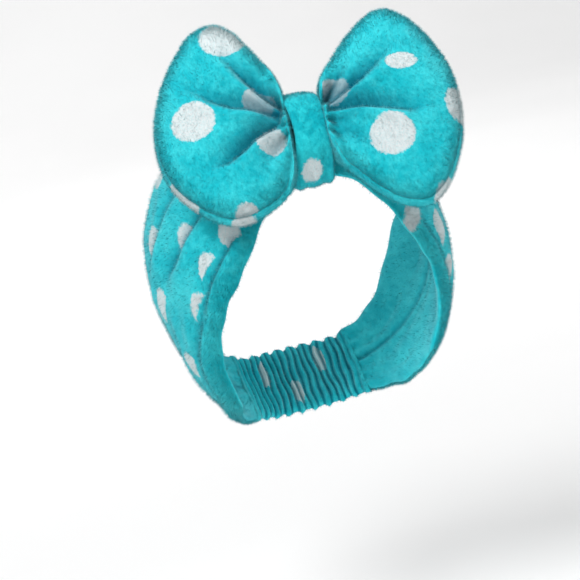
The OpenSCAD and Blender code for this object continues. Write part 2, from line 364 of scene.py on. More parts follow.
@dataclass(frozen=True)
class PlushFinish:
    """Coral fleece with printed dots, and painted shade multiplied into its folds and creases."""

    name: str
    dots: tuple[Dot, ...] = ()
    pale: tuple[int, int, int] = (64, 213, 221)
    deep: tuple[int, int, int] = (24, 184, 197)
    # Colour of the painted shade in folds, creases and under the bow.
    valley: tuple[int, int, int] = (40, 150, 172)
    white: tuple[int, int, int] = (216, 220, 221)
    bump: float = 0.0005
    sheen: float = 0.4

    def build(self, parts: ShaderParts) -> bpy.types.Material:
        """Makes the material.

        Args:
            parts: The shared node groups.

        Returns:
            The finished material.
        """
        material, tree, shader = new_material(self.name)
        cloth = tree.nodes.new("ShaderNodeUVMap")
        cloth.uv_map = CLOTH_UV
        place = tree.nodes.new("ShaderNodeTexCoord").outputs["Object"]
        nap = group_node(tree, parts.nap, place)
        colour = mix_colour(tree, nap.outputs["Mottle"], linear(*self.deep), linear(*self.pale))
        grain = span_node(tree, nap.outputs["Grain"], 0, 1, 0.0, 0.35)
        colour = mix_colour(tree, grain, colour, linear(*self.deep))
        mask = self._dot_mask(tree, parts, cloth.outputs[0], place)
        if mask is not None:
            shade = span_node(tree, nap.outputs["Grain"], 0, 1, 0.0, 0.16)
            white = mix_colour(tree, shade, linear(*self.white), linear(*self.pale))
            colour = mix_colour(tree, mask, colour, white)
        # Painted shade: the valley attribute multiplies the colour towards the valley colour in
        # folds, creases, pleats and under the bow; on the band's lining it also darkens the seam
        # line.
        valley = tree.nodes.new("ShaderNodeAttribute")
        valley.attribute_name = VALLEY
        colour = mix_colour(tree, valley.outputs["Fac"], colour, linear(*self.valley), "MULTIPLY")
        tree.links.new(colour, shader.inputs["Base Color"])
        rough = span_node(tree, nap.outputs["Grain"], 0, 1, 0.84, 0.98)
        tree.links.new(rough, shader.inputs["Roughness"])
        relief(tree, shader, nap.outputs["Height"], self.bump, 0.8)
        shader.inputs["Sheen Weight"].default_value = self.sheen
        shader.inputs["Sheen Roughness"].default_value = 0.45
        shader.inputs["Sheen Tint"].default_value = (0.5, 0.95, 1.0, 1.0)
        shader.inputs["Specular IOR Level"].default_value = 0.06
        return material

    def _dot_mask(self, tree: bpy.types.NodeTree, parts: ShaderParts,
                  cloth: bpy.types.NodeSocket,
                  place: bpy.types.NodeSocket) -> bpy.types.NodeSocket | None:
        """Joins the dots into one mask with frayed edges.

        Args:
            tree: The node tree.
            parts: The shared node groups.
            cloth: The cloth coordinates.
            place: Where the fraying is read.

        Returns:
            The mask, or None without dots.
        """
        fray = math_node(tree, "MULTIPLY",
                         math_node(tree, "SUBTRACT", noise_node(tree, place, 520, 3, 0.7), 0.5),
                         0.0042)
        mask = None
        for dot in self.dots:
            node = tree.nodes.new("ShaderNodeGroup")
            node.node_tree = parts.dot
            tree.links.new(cloth, node.inputs["Cloth"])
            tree.links.new(fray, node.inputs["Fray"])
            node.inputs["Across"].default_value = dot.across * MM
            node.inputs["Along"].default_value = dot.along * MM
            node.inputs["Radius"].default_value = dot.radius * MM
            node.inputs["Stretch"].default_value = dot.stretch
            node.inputs["Cut"].default_value = dot.cut * MM
            one = node.outputs["Mask"]
            mask = one if mask is None else math_node(tree, "MAXIMUM", mask, one)
        return mask


@dataclass(frozen=True)
class ThreadFinish:
    """Spun sewing thread or woven tape, with slanting ply."""

    name: str
    colour: tuple[int, int, int]
    shade: tuple[int, int, int]
    pitch: float = 900.0
    depth: float = 0.0002

    def build(self, parts: ShaderParts) -> bpy.types.Material:
        """Makes the material.

        Args:
            parts: The shared node groups.

        Returns:
            The finished material.
        """
        material, tree, shader = new_material(self.name)
        place = tree.nodes.new("ShaderNodeTexCoord").outputs["Object"]
        ply = group_node(tree, parts.twist, place)
        ply.inputs["Pitch"].default_value = self.pitch
        # Painted shade: the shade colour lies in the grooves between the ply's ridges.
        colour = mix_colour(tree, ply.outputs["Ridge"], linear(*self.shade), linear(*self.colour))
        tree.links.new(colour, shader.inputs["Base Color"])
        rough = span_node(tree, ply.outputs["Fuzz"], 0.2, 0.8, 0.6, 0.85)
        tree.links.new(rough, shader.inputs["Roughness"])
        height = math_node(tree, "ADD", ply.outputs["Ridge"],
                           math_node(tree, "MULTIPLY", ply.outputs["Fuzz"], 0.4))
        relief(tree, shader, height, self.depth)
        shader.inputs["Sheen Weight"].default_value = 0.15
        return material


@dataclass(frozen=True)
class WaddingFinish:
    """Loose white polyester fibre."""

    name: str = "wadding"
    bump: float = 0.002

    def build(self, parts: ShaderParts) -> bpy.types.Material:
        """Makes the material.

        Args:
            parts: The shared node groups.

        Returns:
            The finished material.
        """
        material, tree, shader = new_material(self.name)
        place = tree.nodes.new("ShaderNodeTexCoord").outputs["Object"]
        nap = group_node(tree, parts.nap, place)
        colour = mix_colour(tree, nap.outputs["Mottle"], linear(226, 228, 226),
                            linear(250, 250, 248))
        tree.links.new(colour, shader.inputs["Base Color"])
        rough = span_node(tree, nap.outputs["Grain"], 0, 1, 0.8, 0.98)
        tree.links.new(rough, shader.inputs["Roughness"])
        relief(tree, shader, nap.outputs["Height"], self.bump)
        shader.inputs["Sheen Weight"].default_value = 0.3
        return material


# ---------------------------------------------------------------- mesh helpers


def smooth(x: np.ndarray | float) -> np.ndarray | float:
    """Smoothstep of x held between 0 and 1."""
    k = np.clip(x, 0.0, 1.0)
    return k * k * (3 - 2 * k)


def unit(vectors: np.ndarray, floor: float = 0.0) -> np.ndarray:
    """Scales vectors to length one. A small floor lets a zero vector pass."""
    return vectors / (np.linalg.norm(vectors, axis=-1, keepdims=True) + floor)


@dataclass
class Skin:
    """A cloth surface on a grid of points, with its cloth coordinates and valley shade."""

    points: np.ndarray
    cloth: np.ndarray
    valley: np.ndarray
    closed_rows: bool = False
    closed_cols: bool = False
    capped: bool = False
    fur: np.ndarray | None = None

    def faces(self) -> np.ndarray:
        """Lists the quads of the grid.

        Returns:
            Four point numbers for each quad.
        """
        rows, cols = self.points.shape[:2]
        r = np.arange(rows if self.closed_rows else rows - 1)
        c = np.arange(cols if self.closed_cols else cols - 1)
        a, b = np.meshgrid(r, c, indexing="ij")
        a2, b2 = (a + 1) % rows, (b + 1) % cols
        quads = np.stack([a * cols + b, a * cols + b2, a2 * cols + b2, a2 * cols + b], -1)
        return quads.reshape(-1, 4)

    def normals(self) -> np.ndarray:
        """Works out the way that the cloth faces.

        Returns:
            A unit normal for each grid point.
        """
        du = np.gradient(self.points, axis=0)
        dv = np.gradient(self.points, axis=1)
        if self.closed_rows:
            du = (np.roll(self.points, -1, 0) - np.roll(self.points, 1, 0)) / 2
        if self.closed_cols:
            dv = (np.roll(self.points, -1, 1) - np.roll(self.points, 1, 1)) / 2
        return unit(np.cross(dv, du), TINY)


@dataclass(frozen=True)
class Pile:
    """Fine blades that stand on a skin as the fibres of plush."""

    per_cm2: float = 120.0
    length: float = 1.7
    width: float = 0.22
    lean: float = 0.7
    twist: float = 0.22
    sunk: float = 0.0003
    most: int = 46000

    def blades(self, skin: Skin,
               seed: int) -> tuple[np.ndarray, np.ndarray, np.ndarray, np.ndarray]:
        """Scatters blades on a skin.

        Args:
            skin: The surface that the blades stand on.
            seed: Seed of the scatter.

        Returns:
            Points, normals, cloth coordinates and valley shade, three rows for each blade.
        """
        rng = np.random.default_rng(seed)
        quads = skin.faces()
        pts = skin.points.reshape(-1, 3)
        nrm = skin.normals().reshape(-1, 3)
        cloth = skin.cloth.reshape(-1, 2)
        valley = skin.valley.reshape(-1)
        a, b, c, d = (pts[quads[:, i]] for i in range(4))
        area = np.linalg.norm(np.cross(c - a, d - b), axis=1) / 2
        count = int(min(self.most, area.sum() * 1e4 * self.per_cm2))
        share = area
        if skin.fur is not None:
            share = area * skin.fur.reshape(-1)[quads].mean(1)
        pick = rng.choice(len(quads), count, p=share / share.sum())
        u, v = rng.random((2, count, 1))
        weights = np.concatenate([(1 - u) * (1 - v), u * (1 - v), u * v, (1 - u) * v], 1)

        def at(values: np.ndarray) -> np.ndarray:
            """Reads a vertex value at each blade's root.

            Args:
                values: One row for each vertex.

            Returns:
                One row for each blade.
            """
            shape = (count, 4) + values.shape[1:]
            picked = values[quads[pick]].reshape(shape)
            return np.einsum("ij,ij...->i...", weights, picked)

        root, up = at(pts), unit(at(nrm), TINY)
        drift = rng.normal(size=(count, 3)) * 0.55 + np.array([0.1, -0.1, -0.75])
        drift -= up * (drift * up).sum(1, keepdims=True)
        way = unit(up + drift * self.lean * rng.uniform(0.3, 1.3, (count, 1)))
        side = unit(np.cross(way, up), TINY)
        side = unit(side + self.twist * rng.normal(size=(count, 3)), TINY)
        reach = self.length * MM * rng.uniform(0.55, 1.15, (count, 1))
        half = side * self.width * MM * 0.5
        base = root - up * self.sunk
        points = np.stack([base - half, base + half, root + way * reach], 1).reshape(-1, 3)
        lit = unit(up + way * 0.15 + rng.normal(size=(count, 3)) * 0.1 + np.array([0, 0, 0.15]))
        lit, where, dark = (np.repeat(v, 3, axis=0) for v in (lit, at(cloth), at(valley)))
        return points, lit, where, dark


def build_piece(name: str, skins: list[Skin], material: bpy.types.Material,
                pile: Pile | None = None, seed: int = 1) -> bpy.types.Object:
    """Makes one object from skins, with an optional pile.

    Args:
        name: The piece's name.
        skins: The grids that make up its surface.
        material: Its finish.
        pile: The fibres on it.
        seed: Seed of the fibres' scatter.

    Returns:
        The object, linked to the scene.
    """
    points, normals, cloth, valley, quads, tris, caps = [], [], [], [], [], [], []
    base = 0
    for number, skin in enumerate(skins):
        flat = skin.points.reshape(-1, 3)
        points.append(flat)
        normals.append(skin.normals().reshape(-1, 3))
        cloth.append(skin.cloth.reshape(-1, 2))
        valley.append(skin.valley.reshape(-1))
        quads.append(skin.faces() + base)
        if skin.capped:
            around = skin.points.shape[1]
            caps += [list(range(base, base + around))[::-1],
                     list(range(base + len(flat) - around, base + len(flat)))]
        base += len(flat)
        if pile is not None:
            tip, lit, where, dark = pile.blades(skin, seed + number)
            points.append(tip)
            normals.append(lit)
            cloth.append(where)
            valley.append(dark)
            tris.append(np.arange(len(tip)).reshape(-1, 3) + base)
            base += len(tip)
    points, normals = np.concatenate(points), np.concatenate(normals)
    cloth, valley = np.concatenate(cloth), np.concatenate(valley)
    faces = np.concatenate(quads).tolist() + (np.concatenate(tris).tolist() if tris else []) + caps
    mesh = bpy.data.meshes.new(name)
    mesh.from_pydata(points.tolist(), [], faces)
    mesh.polygons.foreach_set("use_smooth", np.ones(len(mesh.polygons), dtype=bool))
    loops = np.empty(len(mesh.loops), dtype=np.int32)
    mesh.loops.foreach_get("vertex_index", loops)
    layer = mesh.uv_layers.new(name=CLOTH_UV)
    layer.data.foreach_set("uv", cloth[loops].astype(np.float32).ravel())
    shade = mesh.attributes.new(VALLEY, "FLOAT", "POINT")
    shade.data.foreach_set("value", valley.astype(np.float32))
    mesh.materials.append(material)
    if pile is not None:
        mesh.normals_split_custom_set_from_vertices(normals.astype(np.float32).tolist())
    piece = bpy.data.objects.new(name, mesh)
    bpy.context.scene.collection.objects.link(piece)
    return piece


def round_thread(path: np.ndarray, radius: float, closed: bool, sides: int = 8) -> Skin:
    """Makes a round thread.

    Args:
        path: Points along its middle, in metres.
        radius: Its radius, in metres.
        closed: Whether its ends meet.
        sides: Points round it.

    Returns:
        The thread's skin.
    """
    ahead = np.roll(path, -1, 0) - np.roll(path, 1, 0) if closed else np.gradient(path, axis=0)
    ahead = unit(ahead)
    first = unit(np.cross(ahead, np.array([0.31, 0.42, 0.85])))
    second = np.cross(ahead, first)
    turn = np.linspace(0, 2 * np.pi, sides, endpoint=False)
    ring = path[:, None] + radius * (first[:, None] * np.cos(turn)[None, :, None]
                                     + second[:, None] * np.sin(turn)[None, :, None])
    cloth = np.zeros(ring.shape[:2] + (2,))
    return Skin(ring, cloth, np.zeros(ring.shape[:2]), closed, True)


def closed_spline(points: list[tuple[float, float]], count: int) -> np.ndarray:
    """Runs a smooth closed curve through points and samples it evenly by length.

    Args:
        points: The points.
        count: How many samples to take.

    Returns:
        The samples.
    """
    p = np.array(points, dtype=float)
    t = np.linspace(0, 1, 16, endpoint=False)[:, None]
    runs = []
    for i in range(len(p)):
        a, b, c, d = p[i - 1], p[i], p[(i + 1) % len(p)], p[(i + 2) % len(p)]
        runs.append(0.5 * (2 * b + (c - a) * t + (2 * a - 5 * b + 4 * c - d) * t ** 2
                           + (3 * b - a - 3 * c + d) * t ** 3))
    curve = np.concatenate(runs)
    loop = np.concatenate([curve, curve[:1]])
    run = np.concatenate([[0], np.cumsum(np.linalg.norm(np.diff(loop, axis=0), axis=1))])
    want = np.linspace(0, run[-1], count, endpoint=False)
    return np.stack([np.interp(want, run, loop[:, k]) for k in range(2)], 1)


def ripple(x: np.ndarray, y: np.ndarray, pitch: float, seed: int) -> np.ndarray:
    """Makes a smooth uneven surface.

    Args:
        x: First coordinate of each place.
        y: Second coordinate of each place.
        pitch: About how long the swells are.
        seed: Seed of the swells.

    Returns:
        The rise at each place, between about -1 and 1.
    """
    rng = np.random.default_rng(seed)
    total = np.zeros(np.broadcast(x, y).shape)
    for _ in range(7):
        angle, phase = rng.uniform(0, 2 * np.pi, 2)
        step = 2 * np.pi / (pitch * rng.uniform(0.7, 1.6))
        total += np.sin((x * np.cos(angle) + y * np.sin(angle)) * step + phase)
    return total / 3.2


@dataclass(frozen=True)
class Crease:
    """A fold pressed into padded cloth along a line of points, in millimetres.

    The cloth slopes gently into the fold on its soft side. It rises steeply out of it on its sharp
    side, the left of the line as it runs, and goes over a rounded ridge there.
    """

    line: tuple[tuple[float, float], ...]
    depth: float
    sharp: float = 2.2
    soft: float = 6.0
    ridge: float = 1.6
    fade_in: float = 1.35
    ease: float = 0.35
    wide: float = 1.5
    slope_power: float = 1.5
    ridge_at: float = 2.4
    ridge_half: float = 2.0
    slope_shade: float = 0.6
    line_shade: float = 0.45
    shade_half: float = 0.7

    def press(self, x: np.ndarray, y: np.ndarray) -> tuple[np.ndarray, np.ndarray]:
        """Presses the fold into the cloth.

        Args:
            x: First coordinate of each place, in millimetres.
            y: Second coordinate of each place, in millimetres.

        Returns:
            The rise of the cloth and the valley shade at each place.
        """
        best = np.full(x.shape, 1e9)
        signed = np.zeros(x.shape)
        along = np.zeros(x.shape)
        count = len(self.line) - 1
        for i in range(count):
            (ax, ay), (bx, by) = self.line[i], self.line[i + 1]
            ex, ey = bx - ax, by - ay
            t = np.clip(((x - ax) * ex + (y - ay) * ey) / (ex * ex + ey * ey), 0, 1)
            dx, dy = x - ax - t * ex, y - ay - t * ey
            reach = np.hypot(dx, dy)
            near = reach < best
            best = np.where(near, reach, best)
            signed = np.where(near, np.sign(ex * dy - ey * dx) * reach, signed)
            along = np.where(near, (i + t) / count, along)
        fade = smooth(along * self.fade_in) * (1 - self.ease * smooth((along - 0.75) / 0.25))
        spread = self.wide - 0.75 * along
        width = np.where(signed > 0, self.sharp, self.soft) * spread
        valley = np.exp(-np.power(np.abs(signed) / width, self.slope_power))
        past = signed - self.ridge_at * self.sharp * spread
        crest = np.exp(-((past / (self.ridge_half * self.sharp * spread)) ** 2))
        # Painted shade: a broad band on the soft slope and a narrow line along the fold.
        on_slope = (signed + 0.3 * self.soft) / (self.shade_half * self.soft)
        on_line = (signed + 0.2) / (self.shade_half * self.sharp)
        dark = (self.slope_shade * np.exp(-(on_slope ** 2))
                + self.line_shade * np.exp(-(on_line ** 2)))
        return fade * (self.ridge * crest - self.depth * valley), fade * dark


# ---------------------------------------------------------------- the loop round the head


@dataclass(frozen=True)
class HeadLoop:
    """The shell that the band follows round the head, in millimetres and degrees."""

    half_breadth: float = 76.0
    half_length: float = 93.0
    crown: float = 104.0
    tilt: float = 53.0
    side_width: float = 100.0
    front_width: float = 50.0
    end_width: float = 47.0
    thick: float = 8.0
    bunch: float = 4.0
    tube_end: float = 150.0
    neck_draw: float = 0.14
    drawn_from: float = 80.0
    drawn_over: float = 55.0
    widen_from: float = 6.0
    widen_over: float = 46.0
    narrow_from: float = 96.0
    narrow_over: float = 56.0
    bunch_from: float = 4.0
    bunch_over: float = 26.0
    shift_mean: float = 8.5
    shift_swings: tuple[float, float, float] = (2.5, 6.5, 5.5)

    def to_knot(self) -> np.ndarray:
        """Unit vector from the head's centre towards the knot."""
        a = math.radians(self.tilt)
        return np.array([0.0, -math.cos(a), math.sin(a)])

    def to_face(self) -> np.ndarray:
        """Unit vector across the band, towards the face."""
        a = math.radians(self.tilt)
        return np.array([0.0, -math.sin(a), -math.cos(a)])

    def width(self, th: np.ndarray) -> np.ndarray:
        """Works out the width of the tube.

        Args:
            th: Angle from the knot, in degrees.

        Returns:
            The width, in millimetres.
        """
        a = np.abs(th)
        widen = smooth((a - self.widen_from) / self.widen_over)
        narrow = smooth((a - self.narrow_from) / self.narrow_over)
        return (self.front_width + (self.side_width - self.front_width) * widen
                - (self.side_width - self.end_width) * narrow)

    def shift(self, th: np.ndarray) -> np.ndarray:
        """Works out how far the middle of the tube lies towards the face.

        Args:
            th: Angle from the knot, in degrees.

        Returns:
            Distance from the head's centre, in millimetres.
        """
        r = np.radians(th)
        once, twice, thrice = self.shift_swings
        return (self.shift_mean - once * np.cos(r) - twice * np.cos(2 * r)
                + thrice * np.cos(3 * r))

    def thickness(self, th: np.ndarray) -> np.ndarray:
        """Thickness of the flattened tube, bunched at the knot."""
        bunched = 1 - smooth((np.abs(th) - self.bunch_from) / self.bunch_over)
        return self.thick + self.bunch * bunched

    def point(self, th: np.ndarray, k: np.ndarray, t: np.ndarray) -> np.ndarray:
        """Places points on the shell.

        Args:
            th: Angle round the loop from the knot, in degrees.
            k: Distance from the head's centre towards the face.
            t: Height outside the head.

        Returns:
            The points, in metres.
        """
        th, k, t = np.broadcast_arrays(th, k, t)
        a, b, c = self.half_breadth + t, self.half_length + t, self.crown + t
        knot, face = self.to_knot(), self.to_face()
        reach = np.stack([0 * b, face[1] * b * b, face[2] * c * c], -1)
        h2 = reach @ face
        rise = 1 / np.sqrt((knot[1] / b) ** 2 + (knot[2] / c) ** 2)
        m = np.sqrt(np.clip(1 - k * k / h2, 0, 1))
        folded = np.where(np.abs(th) > 180, np.abs(th) - 360, th)
        draw = 1 - self.neck_draw * smooth((np.abs(folded) - self.drawn_from) / self.drawn_over)
        r = np.radians(th)
        place = ((k / h2)[..., None] * reach + (m * a * draw * np.sin(r))[..., None] * [1.0, 0, 0]
                 + (m * rise * np.cos(r))[..., None] * knot)
        return place * MM


@dataclass(frozen=True)
class Fold:
    """A lengthwise fold in the tube, between two places of angle and distance across."""

    start: tuple[float, float]
    end: tuple[float, float]
    depth: float
    width: float = 3.2
    full_depth: float = 3.0

    def press(self, th: np.ndarray, across: np.ndarray) -> tuple[np.ndarray, np.ndarray]:
        """Presses the fold into the cloth.

        Args:
            th: Angle round the loop of each place, in degrees.
            across: Distance across the tube of each place, in millimetres.

        Returns:
            The rise of the cloth and the valley shade at each place.
        """
        (t0, w0), (t1, w1) = self.start, self.end
        along = (th - t0) / (t1 - t0)
        middle = w0 + (w1 - w0) * along + 1.4 * np.sin(along * 5.0 + t0)
        fade = smooth(along * 4) * smooth((1 - along) * 4)
        gap = across - middle
        width = np.where(gap > 0, self.width * 0.7, self.width * 1.5)
        valley = np.exp(-np.power(np.abs(gap) / width, 1.7))
        crest = np.exp(-(((gap - self.width * 2.0) / (self.width * 1.3)) ** 2))
        # Painted shade along the fold's valley.
        dark = np.exp(-((gap / (self.width * 0.9)) ** 2))
        return fade * self.depth * (0.45 * crest - valley), fade * dark


@dataclass
class Band:
    """The fleece tube worn round the head, with its seam and end stitches."""

    loop: HeadLoop = field(default_factory=HeadLoop)
    steps: int = 430
    across_steps: int = 84
    edge_power: int = 7
    knot_tuck: float = 0.26
    tuck_reach: float = 9.0
    lining_share: float = 0.35
    seam_height: float = 1.1
    seam_half: float = 1.6
    wobble: float = 1.1
    gather_height: float = 1.7
    gather_reach: float = 20.0
    end_tuck: float = 1.3
    end_from: float = 122.0
    end_over: float = 26.0
    folds: tuple[Fold, ...] = (
        Fold((-76, 4), (-40, 13), 3.0, 3.4),
        Fold((-70, 40), (-34, 34), 2.6, 2.6),
        Fold((-118, 34), (-62, 42), 2.4, 2.8),
        Fold((-100, -22), (-40, -14), 2.2, 3.8),
        Fold((-128, 8), (-84, 14), 2.4, 3.6),
        Fold((36, 14), (92, 24), 2.8, 3.4),
        Fold((44, 40), (84, 40), 2.2, 2.6),
        Fold((40, -20), (110, -14), 2.4, 3.8),
        Fold((90, 6), (134, 10), 2.4, 3.6),
        Fold((-146, -6), (-112, -16), 2.2, 3.0),
        Fold((112, -16), (146, -6), 2.2, 3.0),
        Fold((112, 30), (146, 12), 2.0, 2.6),
        Fold((-146, 12), (-108, 32), 2.0, 2.6))
    dots: tuple[Dot, ...] = (
        Dot(-44, -95, 8.0), Dot(-20, -118, 7.6, 1.0, 3.0), Dot(11, -91, 8.0, 1.0, -0.5),
        Dot(31, -62, 7.0, 1.0, 4.0), Dot(34, -86, 7.6, 1.0, -0.8), Dot(4, -134, 7.8, 1.0, 3.0),
        Dot(37, -108, 6.4, 1.2, -1.0), Dot(-38, -150, 8.5), Dot(30, -150, 7.0, 1.0, 2.0),
        Dot(-14, -172, 8.5), Dot(16, -196, 8.5), Dot(-36, -56, 8.5), Dot(-8, -60, 8.5),
        Dot(32, 99, 8.5, 1.0, 3.0), Dot(22, 148, 8.5), Dot(-29, 158, 8.5), Dot(41, 66, 6.5),
        Dot(-4, 118, 8.5), Dot(-36, 110, 8.5), Dot(-6, 70, 8.5), Dot(38, 122, 7.5, 1.0, 3.0),
        Dot(0, 178, 8.5), Dot(30, 178, 7.5), Dot(-20, 198, 8.5), Dot(10, 212, 8.5),
        Dot(-10, -220, 8.5), Dot(-34, 56, 8.5))

    def metres_along(self, th: np.ndarray) -> np.ndarray:
        """Cloth length from the knot, in metres, for an angle round the loop."""
        mean = (self.loop.half_breadth + self.loop.half_length) / 2 + self.loop.thick
        return np.radians(th) * mean * MM

    def skin(self) -> Skin:
        """Builds the tube's skin: its outer face, its two rounded edges and its lining.

        Returns:
            The closed skin.
        """
        loop = self.loop
        th = np.linspace(-loop.tube_end, loop.tube_end, self.steps)[:, None]
        s = np.linspace(0, 1, self.across_steps)
        v = np.sin((s - 0.5) * math.pi)
        v_all = np.concatenate([v, v[::-1][1:-1]])[None, :]
        up = np.concatenate([np.ones_like(v), -np.ones_like(v[1:-1])])[None, :]
        width, thick = loop.width(th), loop.thickness(th)
        tuck = self.knot_tuck * np.exp(-((th / self.tuck_reach) ** 4)) * (v_all < 0)
        across = v_all * width / 2 * (1 - tuck)
        edge = np.sqrt(np.clip(1 - np.abs(v_all) ** self.edge_power, 0, 1))
        rise = thick / 2 + up * thick / 2 * edge
        press, dark = self._press(th, across, v_all)
        faced = np.where(up > 0, 1.0, self.lining_share)
        rise = rise + press * edge * faced * up
        seam = np.exp(-((across / self.seam_half) ** 2)) * (up < 0)
        rise = rise + self.seam_height * seam
        wobble = self.wobble * ripple(th * 1.6, 0 * th, 26, 5)
        k = loop.shift(th) + across + wobble * np.abs(v_all) ** 4
        # Painted shade from the folds, gathers and end tucks on the outer face, and a darker line
        # along the lining's seam.
        valley = np.clip(dark * (up > 0) * 0.62 + 0.5 * seam, 0, 0.85) * np.ones_like(k)
        cloth = np.stack([across * MM * np.ones_like(k), self.metres_along(th) * np.ones_like(k)],
                         -1)
        cloth[..., 0] += np.where(up > 0, 0.0, LINING_OFFSET)
        fur = np.where(up > 0, 0.4 + 3.2 * np.clip(v_all, 0, 1) ** 7, 0.22) * np.ones_like(k)
        return Skin(loop.point(th, k, rise), cloth, valley, False, True, True, fur)

    def _press(self, th: np.ndarray, across: np.ndarray,
               v: np.ndarray) -> tuple[np.ndarray, np.ndarray]:
        """Adds up the folds, the gathers at the knot and at the ends, and soft unevenness.

        Args:
            th: Angle round the loop, in degrees.
            across: Distance across the tube, in millimetres.
            v: Share of the half width, from -1 to 1.

        Returns:
            The rise of the cloth and the valley shade at each place.
        """
        total = 0.9 * ripple(th * 1.6, across, 44, 11) + 0.35 * ripple(th * 1.6, across, 15, 12)
        dark = np.zeros(np.broadcast(th, across).shape)
        for fold in self.folds:
            rise, shade = fold.press(th, across)
            total = total + rise
            dark = dark + shade * fold.depth / fold.full_depth
        gather = np.exp(-((np.abs(th) - 6) / self.gather_reach) ** 2)
        pleat = np.sin(v * 15 + 0.8 * np.sin(v * 5 + 1.0) + 0.02 * th)
        total = total + self.gather_height * gather * pleat
        # Painted shade in the troughs of the gathers at the knot.
        dark = dark + 0.7 * gather * smooth(-pleat * 1.5 - 0.2)
        ends = smooth((np.abs(th) - self.end_from) / self.end_over)
        tuck = np.sin(v * 19 + 0.9 * np.sin(v * 4) + 0.03 * th)
        total = total + self.end_tuck * ends * tuck - ends
        # Painted shade in the troughs of the tucks at the ends.
        dark = dark + 0.55 * ends * smooth(-tuck * 1.5 - 0.2)
        return total, dark

    def build(self, parts: ShaderParts) -> list[bpy.types.Object]:
        """Makes the tube.

        Args:
            parts: The shared node groups.

        Returns:
            The tube.
        """
        plush = PlushFinish("plush_band", self.dots).build(parts)
        tube = build_piece("band_plush_tube", [self.skin()], plush,
                           Pile(per_cm2=120, length=2.3, most=100000), 21)
        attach(tube, "band")
        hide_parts("band_tube")
        return [tube]


@dataclass
class NapeElastic:
    """The ruched casing at the nape, with the elastic tape and the seam inside it."""

    loop: HeadLoop = field(default_factory=HeadLoop)
    width: float = 44.0
    thick: float = 10.0
    tape_width: float = 32.0
    tape_thick: float = 1.4
    ruches: int = 19
    ruche_height: float = 1.35
    sewn_over: float = 2.2
    hem_flare: float = 2.6
    round_steps: int = 44
    steps: int = 300
    seam_rise: float = 3.1
    blend_from: float = 0.091
    blend_to: float = 0.1005

    def _angles(self, count: int) -> np.ndarray:
        """Angles of the casing, from one sewn end to the other."""
        start = self.loop.tube_end - self.sewn_over
        return np.linspace(start, 360 - start, count)[:, None]

    def casing(self) -> Skin:
        """Builds the ruched sleeve.

        Returns:
            The closed skin.
        """
        th = self._angles(self.steps)
        v = np.sin((np.linspace(0, 1, self.round_steps) - 0.5) * math.pi)
        v_all = np.concatenate([v, v[::-1][1:-1]])[None, :]
        up = np.concatenate([np.ones_like(v), -np.ones_like(v[1:-1])])[None, :]
        part = (th - th[0]) / (th[-1] - th[0])
        phase = part * self.ruches * 2 * math.pi
        bend = 0.8 * np.sin(v_all * 3 + part * 21) + 0.5 * np.sin(v_all * 7 - part * 13)
        fold = np.sin(phase + bend)
        edge = np.sqrt(np.clip(1 - np.abs(v_all) ** 5, 0, 1))
        full = smooth(part * 12) * smooth((1 - part) * 12)
        hem = 1 - smooth(part * 9) * smooth((1 - part) * 9)
        middle = self.thick / 2 - hem
        rise = middle + up * (self.thick / 2 - 0.6 + self.ruche_height * fold * full) * edge
        half = self.width / 2 + self.hem_flare * hem + np.sin(phase * 0.5 + v_all) * full
        across = v_all * half
        # Painted shade in the troughs of the ruches.
        valley = np.clip(0.75 * smooth(-fold * 1.4 - 0.1) * full, 0, 0.8) * np.ones_like(rise)
        cloth = np.stack([across * MM * np.ones_like(rise),
                          (part * 0.2 + 0.6) * np.ones_like(rise)], -1)
        points = self.loop.point(th, self.loop.shift(th) + across, rise)
        return Skin(points, cloth, valley, False, True, True)

    def tape(self) -> Skin:
        """Builds the elastic tape, a flat ribbon in the middle of the casing.

        Returns:
            The closed skin.
        """
        th = self._angles(90)
        corners = [(-1, -1), (-1, 1), (-0.5, 1), (0, 1), (0.5, 1), (1, 1), (1, -1), (0.5, -1),
                   (0, -1), (-0.5, -1)]
        v = np.array([c[0] for c in corners])[None, :]
        up = np.array([c[1] for c in corners])[None, :]
        rise = self.thick / 2 + up * self.tape_thick / 2
        across = v * self.tape_width / 2
        points = self.loop.point(th, self.loop.shift(th) + across, rise * np.ones_like(th))
        zero = np.zeros(points.shape[:2])
        return Skin(points, np.stack([zero, zero], -1), zero, False, True, True)

    def seam(self) -> Skin:
        """Builds the thread of the casing's seam, inside its inner layer.

        Returns:
            The thread's skin.
        """
        th = self._angles(160)[4:-4, 0]
        path = self.loop.point(th, self.loop.shift(th), self.seam_rise + 0 * th)
        return round_thread(path, THREAD_RADIUS, False)

    def build(self, parts: ShaderParts) -> list[bpy.types.Object]:
        """Makes the casing, the tape and the seam.

        Args:
            parts: The shared node groups.

        Returns:
            The three pieces.
        """
        plush = PlushFinish("plush_casing", (Dot(-8, 655, 8.5), Dot(10, 705, 8.5),
                                             Dot(-6, 750, 8.5))).build(parts)
        tape = ThreadFinish("elastic_weave", ELASTIC_WHITE, (206, 208, 204), 700, 0.0003)
        thread = ThreadFinish("casing_thread", THREAD_BLUE, THREAD_SHADE)
        sleeve = build_piece("nape_casing", [self.casing()], plush,
                             Pile(per_cm2=90, length=1.6, most=20000), 31)
        ribbon = build_piece("nape_elastic_tape", [self.tape()], tape.build(parts))
        seam = build_piece("nape_casing_seam", [self.seam()], thread.build(parts))
        down = -self.loop.to_knot()
        for piece, node, slot in ((sleeve, "elastic_casing", "plush_turquoise"),
                                  (ribbon, "elastic_tape", "elastic"),
                                  (seam, "casing_seam", "thread")):
            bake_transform(piece)
            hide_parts(node)
        return [sleeve, ribbon, seam]


# ---------------------------------------------------------------- the bow


